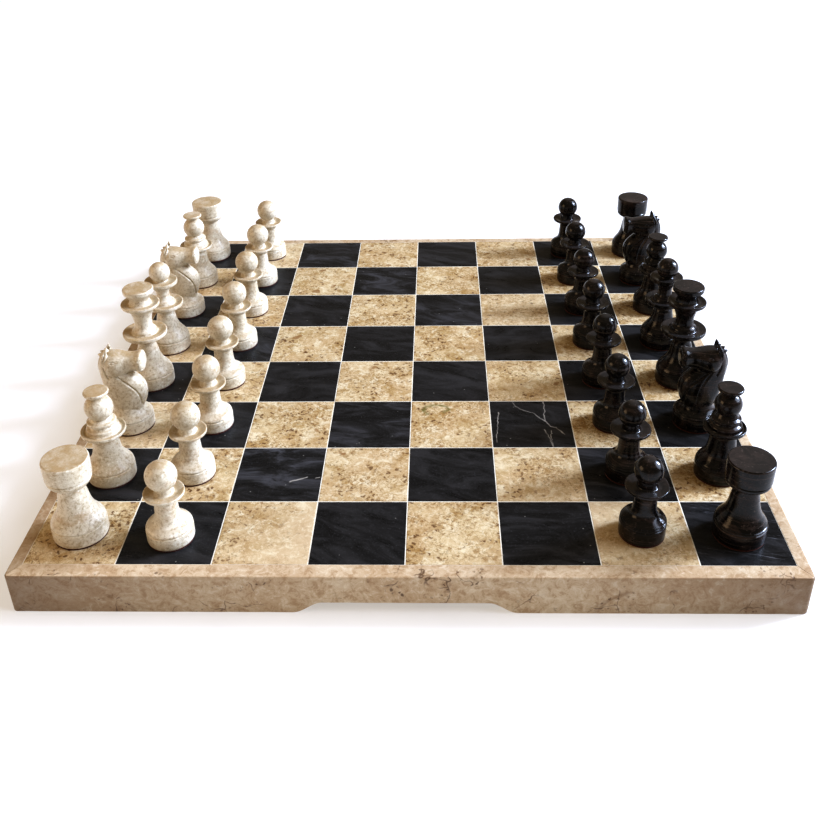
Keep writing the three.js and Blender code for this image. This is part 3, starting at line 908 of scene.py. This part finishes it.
def king(is_black):
    lift = -1.2 if is_black else 0.0
    return [
        *foot(14.3, 9.4, 7.4, 2.3, 5.6, 30, is_black),
        *collar(39.3, 14.2, 6.0, 8.2, 5.6, 1.8),
        (7.9, 41.2, 1.0),
        (5.8, 43.0, 2.0),
        (5.4, 47.5, 3.0),
        *collar(60.2 + lift, 12.0 if is_black else 12.3, 7.2, 7.0, 5.4, 1.4),
        (6.4, 62.4 + lift, 1.2),
        (6.4, 64.4 + lift, 1.2),
        (8.9, 67.2 + lift, 1.4),
        (9.7, 68.2 + lift, 0.5),
        (9.8, 70.6 + lift, 0.4),
        (9.2, 71.2 + lift, 0.4),
        (0, 71.1 + lift, 0),
    ]


TURNED = {"pawn": pawn, "rook": rook, "bishop": bishop, "queen": queen, "king": king}


def low_points(node, height):
    """Points of a CAD man that lie less than a height above its lowest one."""
    low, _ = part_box(node)
    return [v.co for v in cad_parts[node].data.vertices if v.co.z < low.z + height]


def foot_centre(node):
    """Middle of a CAD man's lowest ring, which is its axis on the square."""
    points = low_points(node, 0.1 * MM)
    xs = [p.x for p in points]
    ys = [p.y for p in points]
    return Vector(((min(xs) + max(xs)) / 2, (min(ys) + max(ys)) / 2, BOARD_TOP))


def foot_radius(node):
    """Widest reach of a CAD man below the middle of its drum, from its axis."""
    centre = foot_centre(node)
    return max(math.hypot(p.x - centre.x, p.y - centre.y) for p in low_points(node, 5 * MM))


def seed_of(name):
    return Vector((sum(ord(letter) * (i + 3) for i, letter in enumerate(name)) % 997, 5.5, 2.5))


def make_turned(node, side, kind):
    corners = TURNED[kind](side == "black")
    profile = [Vector((max(0.0, p.x), p.y)) * MM for p in rounded(corners)]
    centre = foot_centre(node)
    vertices, faces = lathe(profile, centre, HAND_WOBBLE, seed_of(node))
    return piece_from(f"{node}_stone", vertices, faces, MATERIALS[side], node, [node])


def make_felt(node):
    """The pad under a man: a thin disc with a soft edge, a little smaller than the drum."""
    radius = foot_radius(node) / MM - 0.25
    corners = [
        (0, 0.02, 0),
        (radius - 0.25, 0.02, 0.2),
        (radius, 0.4, 0.3),
        (radius - 0.25, FELT_MM, 0),
        (0, FELT_MM, 0),
    ]
    profile = [point * MM for point in rounded(corners)]
    vertices, faces = lathe(profile, foot_centre(node), 2 * HAND_WOBBLE, seed_of(node) * 2)
    piece_from(f"{node}_felt", vertices, faces, MATERIALS["felt"], node)


# -------- knights

VOXEL = 0.34 * MM
ALONG, ACROSS, UP = Vector((1, 0, 0)), Vector((0, 1, 0)), Vector((0, 0, 1))


def loft(sections, steps=36):
    """A closed skin over sections (centre, half_a, half_b, axis_a, axis_b, squareness)."""
    vertices = []
    for centre, half_a, half_b, axis_a, axis_b, squareness in sections:
        for step in range(steps):
            angle = 2 * math.pi * step / steps
            c, s = math.cos(angle), math.sin(angle)
            a = math.copysign(abs(c) ** (2 / squareness), c) * half_a
            b = math.copysign(abs(s) ** (2 / squareness), s) * half_b
            vertices.append(centre + axis_a * a + axis_b * b)
    return vertices, skin(len(sections), steps)


def smooth_path(rows, steps):
    """Rows of numbers, with more rows between them on a smooth curve through each."""
    result = []
    for index in range(len(rows) - 1):
        before = rows[max(index - 1, 0)]
        after = rows[min(index + 2, len(rows) - 1)]
        for step in range(steps):
            t = step / steps
            row = []
            for a, b, c, d in zip(before, rows[index], rows[index + 1], after):
                bend = 2 * a - 5 * b + 4 * c - d
                swing = 3 * b - a - 3 * c + d
                row.append(b + 0.5 * ((c - a) * t + bend * t ** 2 + swing * t ** 3))
            result.append(row)
    result.append(list(rows[-1]))
    return result


def carved(rows, section, steps=36):
    """A skin over rows of numbers, with more between them, each made a section by a function."""
    return loft([section(*row) for row in smooth_path(rows, 4)], steps)


def knight_neck():
    """Neck and chest, from (back x, back z, front x, front z, half width) rows in mm."""
    rows = [
        (-8.0, 12.0, 8.0, 12.0, 7.4),
        (-9.4, 16.4, 9.6, 15.6, 7.9),
        (-11.2, 20.6, 11.6, 19.4, 8.4),
        (-12.7, 27.0, 13.1, 25.6, 8.4),
        (-13.6, 34.0, 12.0, 32.2, 7.6),
        (-14.0, 40.5, 6.8, 38.0, 6.4),
        (-13.4, 46.0, 1.0, 43.0, 5.4),
        (-11.4, 50.8, -2.0, 48.0, 4.4),
        (-8.8, 53.0, -4.5, 51.5, 3.0),
    ]

    def section(back_x, back_z, front_x, front_z, half_width):
        back = Vector((back_x, 0, back_z)) * MM
        front = Vector((front_x, 0, front_z)) * MM
        span = front - back
        return (back + front) / 2, span.length / 2, half_width * MM, span.normalized(), ACROSS, 2.25

    return carved(rows, section)


def knight_head():
    """Head, from (x, middle z, half height, half width, squareness) rows in mm."""
    rows = [
        (-11.2, 46.0, 1.8, 2.0, 2.0),
        (-10.0, 45.9, 5.4, 5.4, 2.0),
        (-7.0, 45.5, 8.1, 8.0, 2.05),
        (-3.2, 45.1, 8.7, 8.6, 2.1),
        (0.6, 45.5, 7.8, 7.8, 2.1),
        (4.0, 46.3, 6.5, 6.4, 2.2),
        (7.0, 46.8, 5.8, 5.8, 2.3),
        (9.8, 46.9, 6.0, 6.1, 2.4),
        (11.8, 47.0, 6.4, 6.6, 2.5),
        (13.0, 47.0, 6.2, 6.4, 2.4),
        (13.9, 47.0, 5.2, 5.4, 2.2),
        (14.4, 47.0, 3.2, 3.6, 2.0),
    ]

    def section(x, z, half_height, half_width, squareness):
        return Vector((x, 0, z)) * MM, half_height * MM, half_width * MM, UP, -ACROSS, squareness

    return carved(rows, section)


MANE_DEPTH = 3.2  # how far the crest reaches into the neck
LOCK_PITCH = 0.12  # spacing of the pointed locks behind the ears, as a share of the crest
LOCK_SHARES = (0.08, 0.33)  # first and last tip
LOCK_LENGTH = 1.9


def knight_mane():
    """A thin crest along the back of the neck: pointed locks above, a smooth ridge below."""
    rows = [
        (-7.4, 55.0),
        (-10.0, 53.4),
        (-12.6, 50.2),
        (-14.3, 46.0),
        (-14.8, 41.5),
        (-14.1, 34.0),
        (-12.4, 27.5),
    ]
    line = smooth_path(rows, 16)
    sections = []
    for index, (x, z) in enumerate(line):
        ahead = Vector(line[min(index + 1, len(line) - 1)])
        behind = Vector(line[max(index - 1, 0)])
        run = (ahead - behind).normalized()
        out = Vector((run.y, 0, -run.x))
        share = index / (len(line) - 1)
        lock = ((share - LOCK_SHARES[0]) / LOCK_PITCH) % 1.0
        tooth = LOCK_LENGTH * lock ** 1.3 if share < LOCK_SHARES[1] else 0.0
        middle = Vector((x, 0, z)) + out * (tooth - MANE_DEPTH) / 2
        half_width = 1.9 - 0.7 * share - 0.6 * tooth / LOCK_LENGTH
        half_depth = (MANE_DEPTH + tooth) / 2
        sections.append((middle * MM, half_depth * MM, half_width * MM, out, ACROSS, 2.0))
    return loft(sections, 20)


def knight_ear(side):
    """A leaf-shaped ear up the side of the poll, from (x, y, z, half length, half width) rows in mm."""
    rows = [
        (-8.6, 6.4, 47.0, 1.0, 0.7),
        (-8.5, 5.8, 50.5, 1.6, 1.1),
        (-8.0, 4.4, 53.6, 1.6, 1.2),
        (-7.2, 3.0, 56.0, 1.0, 0.9),
        (-6.6, 2.3, 58.0, 0.25, 0.25),
    ]

    def section(x, y, z, half_length, half_width):
        return Vector((x, side * y, z)) * MM, half_length * MM, half_width * MM, ALONG, ACROSS, 2.0

    return carved(rows, section, 16)


KNIGHT_FOOT = (13.8, 8.8, 3.2, 2.6, 8.0, 17.0)  # radius, line, half, steepness, neck, its height


def knight_base(is_double):
    corners = foot(*KNIGHT_FOOT, is_double) + [(0, 17.2, 0)]
    profile = [point * MM for point in rounded(corners)]
    return lathe(profile, Vector((0, 0, 0)), 0.0, Vector((0, 0, 0)))


# Incised lines as (depth, half width, points as x and z), all in mm on both flanks
CHEST_LINE = (
    0.9, 0.42,
    [(-2.2, 39.0), (1.3, 36.1), (4.7, 33.1), (7.3, 30.4), (9.0, 27.6), (10.0, 24.0), (9.8, 17.0)],
)
SECOND_CHEST_LINE = (
    0.7, 0.42,
    [(-5.0, 40.5), (-1.6, 35.4), (0.6, 31.0), (2.1, 26.0), (2.6, 21.5), (2.2, 16.0)],
)
JAW_LINE = (
    0.8, 0.5,
    [(-7.4, 54.4), (-8.2, 52.0), (-9.4, 49.0), (-9.8, 45.0), (-9.2, 41.0), (-7.4, 37.6)],
)
MOUTH = (0.5, 0.35, [(14.0, 44.0), (11.6, 43.4), (9.2, 44.0)])
NOSTRIL = (0.5, 0.45, [(13.2, 50.0), (12.2, 49.4)])
EYE = (0.4, 0.32, [(-1.2, 49.2), (-2.8, 50.0), (-4.4, 49.2), (-2.8, 48.6), (-1.2, 49.2)])
INCISED = {
    "white": [CHEST_LINE, JAW_LINE, MOUTH, NOSTRIL, EYE],
    "black": [CHEST_LINE, SECOND_CHEST_LINE, JAW_LINE, MOUTH, NOSTRIL, EYE],
}


def carve(mesh, side):
    """Presses the incised lines in along the surface's normals."""
    lines = [(depth, half, smooth_path(points, 4)) for depth, half, points in INCISED[side]]
    normals = [v.normal.copy() for v in mesh.vertices]
    for vertex, normal in zip(mesh.vertices, normals):
        if abs(normal.y) < 0.25 or vertex.co.z < 15 * MM:
            continue
        x, z = vertex.co.x / MM, vertex.co.z / MM
        deepest = 0.0
        for depth, half, line in lines:
            near = distance_to(line, x, z)
            if near < 3 * half:
                deepest = max(deepest, depth * math.exp(-((near / half) ** 2)))
        vertex.co -= normal * deepest * MM


def merged(parts):
    """One bmesh of several (vertices, faces) parts."""
    work = bmesh.new()
    for vertices, faces in parts:
        made = [work.verts.new(v) for v in vertices]
        for face in faces:
            work.faces.new([made[i] for i in face])
    outward(work)
    return work


def knight_form(side):
    """One carved knight facing +X on its own axis: parts fused, smoothed and incised."""
    work = merged([knight_neck(), knight_head(), knight_mane(), knight_ear(-1), knight_ear(1)])
    form = in_scene("knight_form", mesh_of("knight_form", work))
    remesh = form.modifiers.new("fuse", "REMESH")
    remesh.mode = "VOXEL"
    remesh.voxel_size = VOXEL
    soften = form.modifiers.new("soften", "SMOOTH")
    soften.factor = 0.5
    soften.iterations = 3
    bpy.context.view_layer.update()
    made = bpy.data.meshes.new_from_object(form.evaluated_get(bpy.context.evaluated_depsgraph_get()))
    bpy.data.objects.remove(form)
    carve(made, side)
    vertices = [v.co.copy() for v in made.vertices]
    faces = [tuple(face.vertices) for face in made.polygons]
    base_vertices, base_faces = knight_base(side == "black")
    shift = len(vertices)
    faces += [tuple(index + shift for index in face) for face in base_faces]
    return vertices + base_vertices, faces


def make_knight(node, side, form):
    vertices, faces = form
    place = Matrix.Translation(foot_centre(node))
    if side == "black":
        place = place @ Matrix.Rotation(math.pi, 4, "Z")
    moved = [place @ v for v in vertices]
    return piece_from(f"{node}_stone", moved, faces, MATERIALS[side], node, [node])


def make_men():
    forms = {"white": knight_form("white"), "black": knight_form("black")}
    for node in sorted(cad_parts):
        side, _, rest = node.partition("_")
        if side not in forms:
            continue
        kind = rest.split("_")[0]
        if kind == "knight":
            make_knight(node, side, forms[side])
        else:
            sharpen(make_turned(node, side, kind), 50)
        make_felt(node)


# -------- stage

def make_floor():
    work = bmesh.new()
    bmesh.ops.create_grid(work, x_segments=2, y_segments=2, size=6.0)
    floor = in_scene("floor", mesh_of("floor", work))
    paper = Surface("floor_paper", specular=0.0)
    paper.ground(paper.cloud(30, 3), (192, 192, 192), (196, 196, 196))
    paper.feed(paper.shader["Emission Color"], paper.colour)
    paper.shader["Emission Strength"].default_value = 0.75  # a light table's glow
    floor.data.materials.append(paper.finish(0.9))


def add_lamp(name, kind, place, power, colour, size=(1.0, 1.0)):
    """A lamp at a place, aimed at the middle of the board's top."""
    lamp = bpy.data.lights.new(name, kind)
    lamp.energy = power
    lamp.color = colour
    if kind == "AREA":
        lamp.shape = "RECTANGLE"
        lamp.size, lamp.size_y = size
    made = in_scene(name, lamp)
    made.location = place
    aim = Vector((0, 0, BOARD_TOP)) - Vector(place)
    made.rotation_euler = aim.to_track_quat("-Z", "Y").to_euler()
    return lamp


PALE_BAND = 0.28  # height of the pale band round the horizon, where 1 is overhead


def make_lights():
    """Broad cool daylight low from the right, a bright pane in it, and a warm room round them
    that is brightest overhead."""
    day = add_lamp("daylight", "SUN", (1.0, 0.08, 0.66), 3.5, (0.80, 0.93, 1.20))
    day.angle = math.radians(46)
    add_lamp("pane", "AREA", (1.25, 0.2, 0.78), 24.0, (0.78, 0.92, 1.22), (0.24, 0.34))
    add_lamp("room", "AREA", (-1.25, -0.35, 0.55), 4.5, (1.0, 0.70, 0.42), (0.7, 0.5))
    world = bpy.data.worlds.new("studio")
    bpy.context.scene.world = world
    world.use_nodes = True
    room = Nodes(world.node_tree)
    toward = room.node("TexCoord", {})["Generated"]
    height = room.node("SeparateXYZ", {"Vector": toward})["Z"]
    band = room.ramp(height, 0, PALE_BAND, 0.62, 0.0, "LINEAR")
    glow = room.ramp(height, 0, 1, 0.11, 0.50, "LINEAR")
    warmth = room.ramp(height, 0, PALE_BAND, 0.0, 1.0, "LINEAR")
    background = room.tree.nodes["Background"].inputs
    room.feed(background["Color"], room.mix(warmth, (0.98, 0.97, 0.95, 1), (1.0, 0.79, 0.53, 1)))
    room.feed(background["Strength"], room.maths("ADD", band, glow))


def make_camera():
    lens = bpy.data.cameras.new("camera")
    lens.lens = CAMERA_LENS
    lens.sensor_width = 36
    lens.shift_x, lens.shift_y = CAMERA_SHIFT
    lens.clip_start = 0.01
    camera = in_scene("camera", lens)
    target = Vector((FIELD_CENTRE.x, FIELD_CENTRE.y, BOARD_TOP))
    turn = (
        Matrix.Rotation(CAMERA_YAW, 4, "Z")
        @ Matrix.Rotation(math.pi / 2 - CAMERA_PITCH, 4, "X")
        @ Matrix.Rotation(CAMERA_ROLL, 4, "Z")
    )
    camera.matrix_world = Matrix.Translation(target + CAMERA_OFFSET) @ turn
    bpy.context.scene.camera = camera
    view = bpy.context.scene.view_settings
    view.view_transform = "Standard"
    view.gamma = 0.77
    view.exposure = 0.17


make_camera()
make_floor()
make_lights()
make_tiles()
make_grout()
make_rails()
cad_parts["backing_panel"].material_slots[0].material = MATERIALS["backing"]
make_men()
